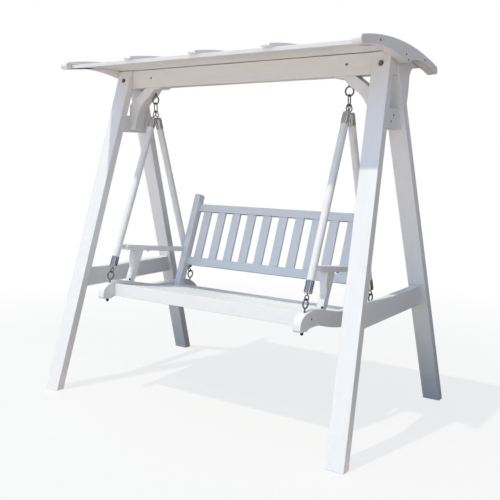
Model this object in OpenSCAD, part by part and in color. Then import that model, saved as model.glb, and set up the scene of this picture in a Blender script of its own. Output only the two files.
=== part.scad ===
// Porch swing seat: a two-seat slatted bench hung by four rods under a roofed pair of A-frames.
// Millimetres, +Z up, +Y towards the back. The origin is on the ground under the middle of the beam.

/* [A-frames] */
// Half the width across the feet
foot_half_w = 925; // [860:5:1050]
// Half the depth across the feet
foot_half_d = 575; // [520:5:640]
// Width of a leg, seen from the front
leg_w = 90; // [70:1:105]
// Thickness of a leg, seen from the side
leg_t = 46; // [38:1:52]
// Height at which the legs' outer faces reach the tenon
leg_h = 1765; // [1700:5:1850]
// Half the depth across the leg tops
leg_top_half_d = 52; // [50:1:60]
// Sideways lean of each A-frame, degrees
splay = 2.8; // [0:0.1:4]
// Height of the side rails' timber
rail_h = 95; // [70:1:110]
// Thickness of the side rails' timber
rail_t = 45; // [30:1:60]
// Bottom edge of the lower side rail
lower_rail_z = 556; // [400:5:700]
// Drop from the roof's crown to the upper side rail's bottom edge
upper_rail_drop = 377; // [340:1:450]

/* [Beam] */
// Height of the beam
beam_h = 98; // [85:1:120]
// Thickness of the beam
beam_t = 79; // [66:1:90]
// Fall of the planed tops towards the back, degrees
top_fall = 4.5; // [2:0.5:6]
// Gap between the planed tops and the roof boards
roof_gap = 3; // [2:0.5:8]
// Thickness of a knee brace
brace_t = 70; // [40:1:78]
// Reach of a knee brace along the beam
brace_reach = 240; // [225:1:260]
// Thickness of a rear corbel
corbel_t = 32; // [20:1:32]

/* [Roof] */
// Radius of the roof, on top of the end rafters
roof_r = 1850; // [1600:10:2200]
// Height of the roof's crown over the legs' tenon
roof_over = 35; // [30:1:65]
// Depth of the crown in front of the beam's middle
roof_y = -22; // [-40:1:0]
// Fall of the whole roof towards the back, degrees
roof_tilt = 3.1; // [2:0.1:5]
// Half angle of an end rafter
rafter_deg = 12.7; // [12.5:0.1:15]
// Thickness of an end rafter
rafter_t = 46; // [35:1:60]
// Height of an end rafter at its ends
rafter_h = 40; // [36:1:50]
// Extra height of an end rafter's belly
belly_h = 46; // [10:1:60]
// Distance of the belly's lowest point behind the crown
belly_y = 60; // [20:5:90]
// Length of the belly in front of its lowest point
belly_front = 320; // [240:5:340]
// Length of the belly behind its lowest point
belly_rear = 190; // [150:5:260]
// Number of roof boards
board_n = 7; // [5:1:7]
// Width of a roof board
board_w = 99; // [80:1:100]
// Gap between roof boards
board_gap = 3; // [1:0.5:6]
// Thickness of a roof board
board_t = 18; // [12:1:20]
// Distance of the boards' front edge from the crown, along the arc
board_front = 387; // [360:1:390]
// Depth that a board's end is let into a rafter
board_let = 12; // [6:1:20]
// Width of a roof batten
batten_w = 46; // [30:1:60]
// Height of a roof batten
batten_h = 18; // [10:1:20]
// Distance of the outer battens from the middle
batten_x = 415; // [250:5:600]
// Overhang of a batten past the boards
batten_over = 9; // [4:1:12]

/* [Hangers] */
// Distance of the hangers inside the A-frames' feet
hang_in = 314; // [285:1:365]
// Drop from the roof's crown to the beam eye's centre
eye_drop = 203; // [202:1:215]
// Outer diameter of the beam and rail eyes
eye_d = 51; // [46:1:56]
// Wire of the beam and rail eyes
eye_wire = 8; // [6:0.5:9]
// Outer width of the swing link
link_w = 28; // [26:0.5:34]
// Wire of the swing link
link_wire = 6; // [5:0.5:7]
// Distance between the swing link's pivots
link_pitch = 34.6; // [30:0.1:50]
// Wire of the rod eyes
rod_eye_wire = 5.5; // [4:0.5:5.5]
// Outer width of the rod eyes
rod_eye_w = 24.5; // [22:0.5:28]
// Loop length of an upper rod eye, wire middle to wire middle
upper_loop = 33; // [28:1:40]
// Loop length of a lower rod eye, wire middle to wire middle
lower_loop = 24; // [22:1:30]
// Neck of a lower rod eye between loop and ferrule
eye_neck = 7; // [5:0.5:14]
// Gap between the two upper ferrules of a side
ferrule_gap = 0.6; // [0.4:0.1:4]
// Diameter of a hanger rod
rod_d = 37; // [28:1:38]
// Outer diameter of a ferrule
ferrule_d = 40; // [39.5:0.5:41]
// Length of a ferrule
ferrule_l = 61; // [40:1:80]
// Rounding of a ferrule's closed end
ferrule_r = 8; // [5:0.5:10]
// Thickness of a ferrule's closed end
ferrule_end = 3; // [2:0.5:5]
// Running clearance of a pin in its hole, on the radius
pin_gap = 0.08; // [0.05:0.01:0.1]
// Free gap between linked wires
wire_gap = 0.3; // [0.2:0.05:0.5]

/* [Bench] */
// Height of the bench's reference point over the ground
bench_z = 558; // [500:1:620]
// Backward tilt of the bench, degrees
bench_tilt = 7; // [0:0.5:10]
// Thickness of a seat rail
seat_rail_t = 42; // [34:1:46]
// Front face of the front rail, before the bench's reference point
seat_front = 363; // [350:1:370]
// Height of the front and rear rails
cross_h = 66; // [50:1:68]
// Thickness of the front and rear rails
cross_t = 25; // [18:1:30]
// Top of the front rail and of the foremost slat
seat_top = -6; // [-10:1:0]
// Fall of the seat from front to back
seat_fall = 14; // [5:1:16]
// Dip of the seat's hollow
seat_dip = 8; // [4:1:10]
// Number of seat slats
seat_slat_n = 8; // [6:1:8]
// Gap between seat slats
seat_slat_gap = 7; // [5:0.5:9]
// Thickness of a seat slat
seat_slat_t = 18; // [12:1:20]
// Width of a seat bearer
bearer_w = 28; // [20:1:35]
// Height of a seat bearer
bearer_h = 36; // [25:1:40]

/* [Back] */
// Rake of the back against the bench, degrees
back_rake = 14; // [10:0.2:18]
// Front face of the back posts at the seat, behind the reference point
post_y = 127; // [115:1:135]
// Width of a back post, seen from the front
post_w = 41; // [30:1:50]
// Depth of a back post, seen from the side
post_d = 47; // [46:1:52]
// Length of a back post above the seat
post_top = 567; // [530:1:620]
// Length of a back post below the seat
post_foot = 62; // [40:1:64]
// Bottom edge of the back's lower rail, along the posts
back_low_z = 132; // [110:1:150]
// Height of the back's lower rail
back_low_h = 48; // [35:1:60]
// Bottom edge of the back's top rail, along the posts
back_top_z = 466; // [420:1:480]
// Height of the back's top rail
back_top_h = 46; // [35:1:55]
// Thickness of the back's rails
back_rail_t = 20; // [18:1:20]
// Set-back of the back's rails behind the posts' front
back_rail_in = 27; // [0:1:27]
// Number of back slats
back_slat_n = 10; // [6:1:12]
// Distance from a back post to the middle of the outermost slat
back_slat_in = 63; // [40:1:80]
// Width of a back slat
back_slat_w = 55; // [30:1:60]
// Thickness of a back slat
back_slat_t = 14; // [10:1:18]
// Depth that a slat's end is let into a rail
slat_let = 12; // [8:1:15]

/* [Arms] */
// Width of an armrest
arm_w = 56; // [44:1:70]
// Thickness of an armrest
arm_t = 27; // [20:1:35]
// Top of an armrest over the bench's reference line
arm_z = 206; // [180:1:230]
// Front end of an armrest, before the reference point
arm_front = 305; // [290:1:315]
// Thickness of an arm post, seen from the front
arm_post_t = 37; // [30:1:40]

/* [Fasteners] */
// Diameter of the leg bolts
bolt_d = 10; // [8:1:12]
// Diameter of a washer
washer_d = 24; // [20:1:28]
// Thickness of a washer
washer_t = 2; // [1.5:0.5:3]
// Height of a bolt head
head_h = 6; // [4:0.5:8]
// Diameter of a screw's head
screw_head_d = 11; // [8:1:14]
// Height of a screw's domed head
screw_head_h = 3; // [2:0.5:4]
// Diameter of a screw's shank
screw_d = 5; // [4:0.5:6]
// Length of a screw under its head
screw_l = 62; // [50:1:70]
// Diameter of a barrel nut
barrel_d = 12; // [11:0.5:15]
// Depth of a barrel nut under the beam's face
barrel_in = 9; // [5:1:15]

/* [Hidden] */
$fn = 64;
far = 4000;                                   // reach of the cutting blocks
paint = "white";
steel = "silver";
seam = 0.3;                                   // gap where a curved face meets its neighbour

// Heights and places that follow the A-frames
roof_z = leg_h + roof_over;
upper_rail_z = roof_z - upper_rail_drop;
eye_z = roof_z - eye_drop;
hang_x = foot_half_w - hang_in;

// A-frames
rake = atan((foot_half_d - leg_top_half_d) / leg_h);
leg_depth = leg_t / cos(rake);                // leg thickness measured level
leg_in_x = -leg_w;                            // inner face of the legs in the A-frame's own frame
rail_in_x = -(leg_w + rail_t) / 2;
rail_out_x = rail_in_x + rail_t;
function leg_face_y(z) = foot_half_d - (foot_half_d - leg_top_half_d) * z / leg_h;
function leg_back_y(z) = leg_face_y(z) - leg_depth;
// Inner face of an A-frame's upper rail at height z
function rail_face_x(z) = foot_half_w + rail_in_x / cos(splay) - z * tan(splay);

// Beam
top_y = -beam_t / 2;
board_r = roof_r - batten_h;                  // radius on top of the boards
under_r = board_r - board_t;                  // radius under the boards
beam_top = roof_z - batten_h - board_t - roof_gap + (roof_y - top_y) * tan(roof_tilt);
beam_bottom = beam_top - beam_h;
bolt_z = beam_top - beam_h / 2;
bolt_bed = leg_face_y(bolt_z + washer_d / 2) - 1;
barrel_z = beam_top - 45;

// Roof: the boards are flat, laid side by side on the arc
board_end = foot_half_w - (roof_z - 20) * tan(splay) + board_let;
board_step = (board_w + board_gap) / board_r * 180 / PI;
board_from = -board_front / board_r * 180 / PI + board_w / board_r * 90 / PI;
arc_steps = 24;                               // straight pieces in half a bent timber
// Point of the roof at an angle behind the crown
function arc_pt(r, a) = [r * sin(a), r * cos(a)];

// Hangers, in the YZ plane of each pair
eye_r = (eye_d - eye_wire) / 2;
collar_d = eye_wire + 6;                      // collar of a beam eye, bedded in the knee brace
collar_h = 12;
pivot_z = eye_z - eye_r;                      // the link swings round the lowest wire of the beam eye
link_r = (link_w - link_wire) / 2;
link_in = link_r - link_wire / 2;
link_top_z = pivot_z + (eye_wire + link_wire) / 2 + wire_gap - link_r;
link_low_z = pivot_z - link_pitch;            // the rods swing round the centre of the link's lower bend
rod_wire_r = rod_eye_wire / 2;
rod_eye_r = (rod_eye_w - rod_eye_wire) / 2;
hook_y = rod_wire_r + wire_gap;
hook_z = link_low_z - sqrt(pow(link_in - rod_wire_r - wire_gap, 2) - hook_y * hook_y);

// Bench, in its own tilted frame
rail_half = seat_rail_t / 2;
seat_in = hang_x - rail_half;                 // inner faces of the seat rails
front_eye = [-379, 37];                       // rail eye centres, before and behind
rear_eye = [301, 39];
front_eye_lean = 5;
rear_eye_lean = 0;
nut_bed_z = -83.6;                            // height at which the rail eyes' washers bed
nut_h = 20;
nut_washer_d = 19;
// From a rail eye's centre down its shank to its washer's bed
function eye_to_nut(end) = end < 0
    ? (front_eye[1] - nut_bed_z) / cos(front_eye_lean)
    : (rear_eye[1] - nut_bed_z) / cos(rear_eye_lean);
seat_from = -seat_front + cross_t;
rear_rail_y = post_y + post_d / cos(back_rake) + 2;
seat_slat_w = (rear_rail_y - seat_from - seat_slat_n * seat_slat_gap) / seat_slat_n;
function seat_t(y) = (y + seat_front) / (rear_rail_y + seat_front);
function seat_z(y) = seat_top - seat_fall * seat_t(y) - seat_dip * 4 * seat_t(y) * (1 - seat_t(y));
post_in = seat_in - post_w;
back_slat_pitch = 2 * (post_in - back_slat_in) / (back_slat_n - 1);
post_z = -17;                                 // height of the point that post_y refers to
function post_face_y(z) = post_y + (z - post_z) * tan(back_rake);

// World place of a point of the bench frame
function world(p) = [p[0] * cos(bench_tilt) + p[1] * sin(bench_tilt),
                     bench_z - p[0] * sin(bench_tilt) + p[1] * cos(bench_tilt)];
function unit(v) = v / norm(v);

// A rod's line: from its hook in the link to its hook in the rail eye
function hook_top(side) = [side * hook_y, hook_z];
rail_hook_in = eye_r - (eye_wire + rod_eye_wire) / 2 - wire_gap;
function eye_centre(side) = world(side < 0 ? front_eye : rear_eye);
function rod_dir(side) = unit(eye_centre(side) - hook_top(side));
function hook_low(side) = eye_centre(side) - rod_dir(side) * rail_hook_in;
function rod_len(side) = norm(hook_low(side) - hook_top(side));
function rod_angle(side) = atan2(rod_dir(side)[0], -rod_dir(side)[1]);

// How far a ferrule's shoulder stands from its line's end, towards the other rod
function shoulder(side) =
    let (a = abs(rod_angle(side)))
        (ferrule_d / 2 - ferrule_r) * cos(a) + ferrule_r * (1 - sin(a));
// The upper ferrules start where they stand clear of each other
upper_from = (shoulder(-1) + shoulder(1) + ferrule_gap - 2 * hook_y)
    / (sin(abs(rod_angle(-1))) + sin(abs(rod_angle(1))));
upper_neck = upper_from - upper_loop;

// Smooth curve through points (Catmull-Rom), with n steps a span
function spline_pt(p0, p1, p2, p3, t) =
    0.5 * (2 * p1 + (p2 - p0) * t + (2 * p0 - 5 * p1 + 4 * p2 - p3) * t * t
    + (3 * p1 - p0 - 3 * p2 + p3) * t * t * t);
function smooth(p, n = 6) = [
    for (i = [0 : len(p) - 2], k = [0 : n - 1])
        spline_pt(p[max(i - 1, 0)], p[i], p[i + 1], p[min(i + 2, len(p) - 1)], k / n),
    p[len(p) - 1]];

// ---------------------------------------------------------------- frames and helpers

// Puts a child on the right (side 1) or mirrored on the left (side -1)
module on_side(side) {
    mirror([side < 0 ? 1 : 0, 0, 0]) children();
}

// The leaning frame of one A-frame: x = 0 is the legs' outer face
module a_frame() {
    translate([foot_half_w, 0, 0])
        rotate([0, -splay, 0])
            children();
}

// The bench's own tilted frame
module bench() {
    translate([0, 0, bench_z])
        rotate([-bench_tilt, 0, 0])
            children();
}

// The back's own frame: y = 0 is the posts' front face, z runs up the posts
module back() {
    bench()
        translate([0, post_y, post_z])
            rotate([-back_rake, 0, 0])
                children();
}

// The roof's own frame: its arc is centred on [0, 0] of the YZ plane
module roof_arc() {
    translate([0, roof_y, roof_z])
        rotate([-roof_tilt, 0, 0])
            translate([0, 0, -roof_r])
                children();
}

// Extrudes a YZ outline from x0 to x1
module across(x0, x1) {
    translate([x0, 0, 0])
        rotate([90, 0, 90])
            linear_extrude(x1 - x0)
                children();
}

// Extrudes an XZ outline from y0 to y1
module along(y0, y1) {
    translate([0, y1, 0])
        rotate([90, 0, 0])
            linear_extrude(y1 - y0)
                children();
}

// Everything under the planed top of beam and legs
module under_top() {
    translate([0, top_y, beam_top])
        rotate([-top_fall, 0, 0])
            translate([-far / 2, -far / 2, -far])
                cube([far, far, far]);
}

// Everything above the ground
module over_ground() {
    translate([-far / 2, -far / 2, 0])
        cube([far, far, far]);
}

// A ring whose axis runs along Z
module ring(r, wire) {
    rotate_extrude()
        translate([r, 0])
            circle(d = wire, $fn = 32);
}

// A long loop in the XZ plane, from z = 0 down to -length, between wire middles
module loop(r, wire, length) {
    straight = length - 2 * r;
    for (end = [0, 1])
        translate([0, 0, -r - end * straight])
            rotate([90, end * 180, 0])
                rotate_extrude(angle = 180)
                    translate([r, 0])
                        circle(d = wire, $fn = 32);
    for (side = [-1, 1])
        translate([side * r, 0, -r - straight])
            cylinder(h = straight, d = wire, $fn = 32);
}

// ---------------------------------------------------------------- A-frames

// Level outline of a leg, with its foot run past the ground and its top past the cut
module leg_outline() {
    low = -40;
    high = leg_h + 40;
    polygon([[leg_face_y(low), low], [leg_back_y(low), low],
             [leg_back_y(high), high], [leg_face_y(high), high]]);
}

// The space between the legs' inner edges
module between_legs() {
    low = -40;
    high = leg_h + 40;
    polygon([[-leg_back_y(low), low], [leg_back_y(low), low],
             [leg_back_y(high), high], [-leg_back_y(high), high]]);
}

// Bolt holes with a spot face where the washers bed
module leg_bolt_cut() {
    translate([-leg_w / 2, 0, bolt_z])
        rotate([90, 0, 0]) {
            cylinder(h = far / 4, d = bolt_d + 2 * pin_gap, center = true);
            for (end = [0, 1])
                rotate([0, end * 180, 0])
                    translate([0, 0, bolt_bed])
                        cylinder(h = far / 40, d = washer_d + 2);
        }
}

module leg(side, rear) {
    color(paint)
        on_side(side)
            intersection() {
                difference() {
                    a_frame()
                        mirror([0, rear ? 0 : 1, 0])
                            across(leg_in_x, 0)
                                leg_outline();
                    a_frame()
                        leg_bolt_cut();
                    rafter_screw_places()
                        screw_cut();
                }
                under_top();
                over_ground();
            }
}

module side_rail(side, z, holes) {
    color(paint)
        on_side(side)
            a_frame()
                difference() {
                    across(rail_in_x, rail_out_x)
                        intersection() {
                            between_legs();
                            translate([-far / 2, z])
                                square([far, rail_h]);
                        }
                    if (holes)
                        rail_screw_places()
                            screw_cut();
                }
}

// ---------------------------------------------------------------- beam, braces, corbels

// Tenon that fills the space between the leg tops
module tenon() {
    a_frame()
        difference() {
            across(leg_in_x - 1, leg_in_x + leg_w - 4)
                intersection() {
                    between_legs();
                    translate([-far / 2, beam_bottom])
                        square([far, beam_h + 60]);
                }
            leg_bolt_cut();
        }
}

module beam() {
    color(paint)
        intersection() {
            difference() {
                union() {
                    difference() {
                        translate([-foot_half_w, -beam_t / 2, beam_bottom])
                            cube([2 * foot_half_w, beam_t, beam_h + 60]);
                        for (side = [-1, 1])
                            on_side(side)
                                a_frame()
                                    translate([leg_in_x, -far / 2, -far / 2])
                                        cube([far, far, far]);
                    }
                    for (side = [-1, 1])
                        on_side(side)
                            tenon();
                }
                for (side = [-1, 1])
                    on_side(side) {
                        beam_eye_cut();
                        rafter_screw_places()
                            screw_cut();
                    }
            }
            under_top();
        }
}

// Collar bed, shank hole and barrel nut bore of a beam eye
module beam_eye_cut() {
    translate([hang_x, 0, 0]) {
        translate([0, 0, eye_z])
            cylinder(h = eye_r + collar_h, d = collar_d + 2);
        translate([0, 0, beam_bottom - far / 4])
            cylinder(h = barrel_z - beam_bottom + far / 4, d = eye_wire + 2 * pin_gap);
        translate([0, -beam_t, barrel_z])
            rotate([-90, 0, 0])
                cylinder(h = beam_t + beam_t / 2 - barrel_in, d = barrel_d + 2 * pin_gap);
    }
}

// Outline of a knee brace: a hollow quarter under the beam, its foot on the upper rail
module brace_outline() {
    foot_z = [upper_rail_z + 8, upper_rail_z + rail_h, upper_rail_z + 150];
    corner = [rail_face_x(upper_rail_z + 48), beam_bottom];
    lip = [[-brace_reach, 0], [6 - brace_reach, -10]];
    hollow = smooth([[48 - brace_reach, -10], [-173.5, -31], [-154.5, -48.7], [-131.5, -64.2],
                     [-109.5, -81.7], [-90.5, -103.2], [-76.5, -123.2], [-63.5, -148.2],
                     [-53.5, -178.2], [-47.5, -208.2], [-46.5, foot_z[0] - beam_bottom]], 3);
    polygon(concat(
        [for (p = concat(lip, hollow)) corner + p],
        [for (z = foot_z) [rail_face_x(z), z]],
        [[corner[0] - 130, beam_bottom]]));
}

module knee_brace(side) {
    color(paint)
        on_side(side)
            difference() {
                along(-brace_t / 2, brace_t / 2)
                    brace_outline();
                beam_eye_cut();
                a_frame()
                    rail_screw_places()
                        screw_cut();
            }
}

// Corbel behind a rear leg, under the roof's back edge
module corbel(side) {
    foot_z = upper_rail_z + 118;
    tip = [210, beam_top - 42];
    edge = smooth([[leg_face_y(foot_z), foot_z], [leg_face_y(foot_z) + 12, foot_z + 34],
                   [145, beam_top - 134], [154, beam_top - 92], [174, beam_top - 65], tip], 5);
    color(paint)
        on_side(side)
            intersection() {
                a_frame()
                    across(-corbel_t, 0)
                        polygon(concat(edge, [[tip[0], roof_z], [leg_face_y(roof_z), roof_z]]));
                roof_arc()
                    rotate([0, 90, 0])
                        cylinder(h = far, r = under_r - 0.6, center = true, $fn = 720);
            }
}

// ---------------------------------------------------------------- roof

// The frame of an end rafter: x = 0 lies on the legs' outer faces
module rafter_frame() {
    translate([foot_half_w - roof_z * tan(splay), roof_y, roof_z])
        rotate([0, -splay, 0])
            rotate([-roof_tilt, 0, 0])
                translate([0, 0, -roof_r])
                    children();
}

// Half-round end of a bent timber at angle a, from its outer to its inner edge; dir is the way it points
function nose(r_out, r_in, a, dir) =
    let (mid = arc_pt((r_out + r_in) / 2, a), r = (r_out - r_in) / 2)
        [for (t = [15 : 15 : 165]) mid + r * (cos(t) * arc_pt(1, a) + dir * sin(t) * [cos(a), -sin(a)])];
function reverse(list) = [for (i = [len(list) - 1 : -1 : 0]) list[i]];

// Extra depth of an end rafter y behind the crown: slow to swell in front, quick to fade behind
function belly(y) = y < belly_y
    ? belly_h * pow(max(0, 1 - (belly_y - y) / belly_front), 1.3)
    : belly_h * pow(max(0, 1 - (y - belly_y) / belly_rear), 2);
function rafter_low(a) = let (r = roof_r - rafter_h) r - belly(r * sin(a));

module rafter_outline() {
    low_r = roof_r - rafter_h;
    polygon(concat(
        [for (i = [-arc_steps : arc_steps]) arc_pt(roof_r, rafter_deg * i / arc_steps)],
        nose(roof_r, low_r, rafter_deg, 1),
        [for (i = [arc_steps : -1 : -arc_steps])
            let (a = rafter_deg * i / arc_steps)
                arc_pt(rafter_low(a), a)],
        reverse(nose(roof_r, low_r, -rafter_deg, -1))));
}

module rafter(side) {
    color(paint)
        on_side(side)
            difference() {
                rafter_frame()
                    across(0, rafter_t)
                        rafter_outline();
                roof_arc()
                    across(0, board_end + 1)
                        board_groove();
                rafter_screw_places()
                    screw_cut();
            }
}

// Groove that takes the ends of the boards
module board_groove() {
    half = board_step / 2 * board_n + 0.1;
    mid = board_from + board_step * (board_n - 1) / 2;
    span = [for (i = [-arc_steps : arc_steps]) mid + half * i / arc_steps];
    polygon(concat([for (a = span) arc_pt(board_r + 1.2, a)],
                   [for (a = reverse(span)) arc_pt(under_r - seam, a)]));
}

// One roof board, flat, laid on the arc
module roof_board(i) {
    color(paint)
        difference() {
            roof_arc()
                rotate([-(board_from + board_step * (i - 1)), 0, 0])
                    translate([-board_end, -board_w / 2, under_r])
                        cube([2 * board_end, board_w, board_t]);
            for (side = [-1, 1])
                on_side(side)
                    rafter_screw_places()
                        screw_cut();
        }
}

// A batten bent over the boards, with rounded ends
module roof_batten(x) {
    over = batten_over / board_r * 180 / PI;
    half_board = board_w / board_r * 90 / PI;
    from = board_from - half_board - over;
    to = board_from + board_step * (board_n - 1) + half_board + over;
    low_r = board_r + 1;
    span = [for (i = [0 : arc_steps]) from + (to - from) * i / arc_steps];
    color(paint)
        roof_arc()
            across(x - batten_w / 2, x + batten_w / 2)
                polygon(concat(
                    [for (a = span) arc_pt(roof_r, a)],
                    nose(roof_r, low_r, to, 1),
                    [for (a = reverse(span)) arc_pt(low_r, a)],
                    reverse(nose(roof_r, low_r, from, -1))));
}

// ---------------------------------------------------------------- frame fasteners

// A screw with a domed head, driven towards -x from x = 0
module screw() {
    rotate([0, 90, 0])
        rotate_extrude($fn = 32)
            polygon([[0, -screw_l], [screw_d / 2, -screw_l], [screw_d / 2, 0],
                     [screw_head_d / 2, 0], [screw_head_d / 2 - 1, screw_head_h * 0.7],
                     [screw_head_d / 4, screw_head_h], [0, screw_head_h]]);
}

module screw_cut() {
    rotate([0, -90, 0])
        cylinder(h = screw_l + 1, d = screw_d + 2 * pin_gap, $fn = 32);
}

// Screws that hold a knee brace's foot through the upper rail, in the A-frame's frame
module rail_screw_places() {
    for (y = [-14, 14])
        translate([rail_out_x, y, upper_rail_z + 48 + y])
            children();
}

// Screws through an end rafter, in the world frame
module rafter_screw_places() {
    for (p = [[-245, -40], [30, -52], [56, -73], [252, -41]])
        rafter_frame()
            translate([rafter_t, p[0], roof_r + p[1]])
                children();
}

module rafter_screws() {
    color(steel)
        for (side = [-1, 1])
            on_side(side)
                rafter_screw_places()
                    screw();
}

module frame_screws() {
    color(steel)
        for (side = [-1, 1])
            on_side(side)
                a_frame()
                    rail_screw_places()
                        screw();
}

// A bolt right through the leg tops, with a washer, a domed head and a nut
module leg_bolts() {
    color(steel)
        for (side = [-1, 1])
            on_side(side)
                a_frame()
                    translate([-leg_w / 2, 0, bolt_z])
                        rotate([90, 0, 0]) {
                            cylinder(h = 2 * bolt_bed, d = bolt_d, center = true);
                            for (end = [0, 1])
                                rotate([0, end * 180, 0])
                                    translate([0, 0, bolt_bed]) {
                                        cylinder(h = washer_t, d = washer_d);
                                        cylinder(h = washer_t + head_h, d = 2 * bolt_d - 3, $fn = 6);
                                    }
                        }
}

module barrel_nuts() {
    color(steel)
        for (side = [-1, 1])
            translate([side * hang_x, 0, barrel_z])
                difference() {
                    rotate([90, 0, 0])
                        cylinder(h = beam_t - 2 * barrel_in, d = barrel_d, center = true);
                    translate([0, 0, -barrel_d])
                        cylinder(h = barrel_d + eye_wire / 2, d = eye_wire + 2 * pin_gap);
                }
}

// ---------------------------------------------------------------- hangers

// An eye bolt through knee brace and beam into its barrel nut
module beam_eye(side) {
    color(steel)
        translate([side * hang_x, 0, 0]) {
            translate([0, 0, eye_z])
                rotate([90, 0, 0])
                    ring(eye_r, eye_wire);
            translate([0, 0, eye_z + eye_r])
                cylinder(h = barrel_z - eye_z - eye_r + eye_wire / 2 - 1, d = eye_wire);
            translate([0, 0, eye_z + eye_r])
                cylinder(h = collar_h, d = collar_d);
        }
}

// The oval link that both rods of one side hang from
module swing_link(side) {
    color(steel)
        translate([side * hang_x, 0, link_top_z + link_r])
            rotate([0, 0, 90])
                loop(link_r, link_wire, link_top_z - link_low_z + 2 * link_r);
}

// Places a child on a rod's line, z = 0 at its upper hook and the rod running down
module on_rod(side, end) {
    p = hook_top(end);
    translate([side * hang_x, p[0], p[1]])
        rotate([rod_angle(end), 0, 0])
            children();
}

// Length along a rod's line taken by an eye and the ferrule's closed end
function rod_from() = upper_from + ferrule_end;
function rod_to(end) = rod_len(end) - lower_loop - eye_neck - ferrule_end;

module rod(side, end) {
    color(paint)
        on_rod(side, end)
            translate([0, 0, -rod_to(end)])
                cylinder(h = rod_to(end) - rod_from(), d = rod_d);
}

// A ferrule from its closed end at z = 0 down over the rod
module ferrule() {
    r = ferrule_d / 2;
    in_r = rod_d / 2 + pin_gap;
    neck_r = rod_wire_r + pin_gap;
    arc = [for (a = [0 : 15 : 90]) [r - ferrule_r + ferrule_r * sin(a), -ferrule_r + ferrule_r * cos(a)]];
    rotate_extrude()
        polygon(concat([[neck_r, 0]], arc,
            [[r, -ferrule_l], [in_r, -ferrule_l], [in_r, -ferrule_end], [neck_r, -ferrule_end]]));
}

module ferrules(upper) {
    color(steel)
        for (side = [-1, 1], end = [-1, 1])
            on_rod(side, end)
                if (upper)
                    translate([0, 0, -upper_from])
                        ferrule();
                else
                    translate([0, 0, -rod_len(end) + lower_loop + eye_neck])
                        mirror([0, 0, 1])
                            ferrule();
}

// An eye whose loop starts at z = 0 and whose neck ends inside the ferrule
module rod_eye(length, neck) {
    loop(rod_eye_r, rod_eye_wire, length);
    translate([0, 0, -length - neck - ferrule_end + seam])
        cylinder(h = neck + ferrule_end - seam, d = rod_eye_wire, $fn = 32);
}

module rod_eyes(upper) {
    color(steel)
        for (side = [-1, 1], end = [-1, 1])
            on_rod(side, end)
                if (upper)
                    rod_eye(upper_loop, upper_neck);
                else
                    translate([0, 0, -rod_len(end)])
                        mirror([0, 0, 1])
                            rod_eye(lower_loop, eye_neck);
}

// Places a child at both rail eyes of one end, z along their shanks
module rail_eye_places(end) {
    for (side = [-1, 1]) {
        p = end < 0 ? front_eye : rear_eye;
        bench()
            translate([side * hang_x, p[0], p[1]])
                rotate([end < 0 ? -front_eye_lean : -rear_eye_lean, 0, 0])
                    children();
    }
}

module rail_eyes() {
    color(steel)
        for (end = [-1, 1]) {
            shank = eye_to_nut(end) + washer_t + nut_h - 4;
            rail_eye_places(end) {
                rotate([0, 90, 0])
                    ring(eye_r, eye_wire);
                translate([0, 0, -shank])
                    cylinder(h = shank - eye_r, d = eye_wire);
            }
        }
}

// Shank holes of the rail eyes, with a spot face for each washer
module rail_eye_cuts() {
    for (end = [-1, 1])
        rail_eye_places(end) {
            translate([0, 0, -2 * eye_to_nut(end)])
                cylinder(h = 2 * eye_to_nut(end), d = eye_wire + 2 * pin_gap);
            translate([0, 0, -eye_to_nut(end) - far / 20])
                cylinder(h = far / 20, d = nut_washer_d + 2);
        }
}

// Washer and domed nut under a seat rail
module rail_nuts() {
    dome_r = 7.5;
    color(steel)
        for (end = [-1, 1])
            rail_eye_places(end)
                translate([0, 0, -eye_to_nut(end)])
                    rotate([180, 0, 0])
                        difference() {
                            union() {
                                cylinder(h = washer_t, d = nut_washer_d);
                                cylinder(h = washer_t + nut_h - dome_r, r = dome_r);
                                translate([0, 0, washer_t + nut_h - dome_r])
                                    sphere(r = dome_r);
                            }
                            translate([0, 0, -1])
                                cylinder(h = washer_t + nut_h - 2.5, d = eye_wire + 2 * pin_gap);
                        }
}

// ---------------------------------------------------------------- bench

// Outline of a seat rail: scooped top, arched foot, a drooping nose in front
module seat_rail_outline() {
    top = smooth([[-443, -62], [-438, -38], [-427, -24], [-406, -9], [-376, 0], [-340, 8], [-300, 9],
                  [-200, 1], [-53, -13], [80, -2], [218, 10], [276, 6], [328, -17], [362, -46]], 5);
    bottom = smooth([[372, -84], [200, -86], [-53, -88], [-110, -86], [-183, -79], [-225, -70],
                     [-275, -65.5], [-330, -70], [-364, -76.5], [-380, -84.5], [-402, -86.5],
                     [-430, -89], [-442, -80]], 5);
    polygon(concat(top, bottom));
}

module seat_rail(side) {
    color(paint)
        difference() {
            bench()
                translate([side * hang_x, 0, 0])
                    across(-rail_half, rail_half)
                        seat_rail_outline();
            rail_eye_cuts();
            bench_screw_places(side)
                screw_cut();
        }
}

module seat_front_rail() {
    color(paint)
        difference() {
            bench()
                translate([-seat_in, -seat_front, seat_top - cross_h])
                    cube([2 * seat_in, cross_t, cross_h]);
            for (side = [-1, 1])
                bench_screw_places(side)
                    screw_cut();
        }
}

module seat_rear_rail() {
    color(paint)
        difference() {
            bench()
                translate([-seat_in, rear_rail_y, seat_z(rear_rail_y) - cross_h])
                    cube([2 * seat_in, cross_t, cross_h]);
            for (side = [-1, 1])
                bench_screw_places(side)
                    screw_cut();
        }
}

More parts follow.
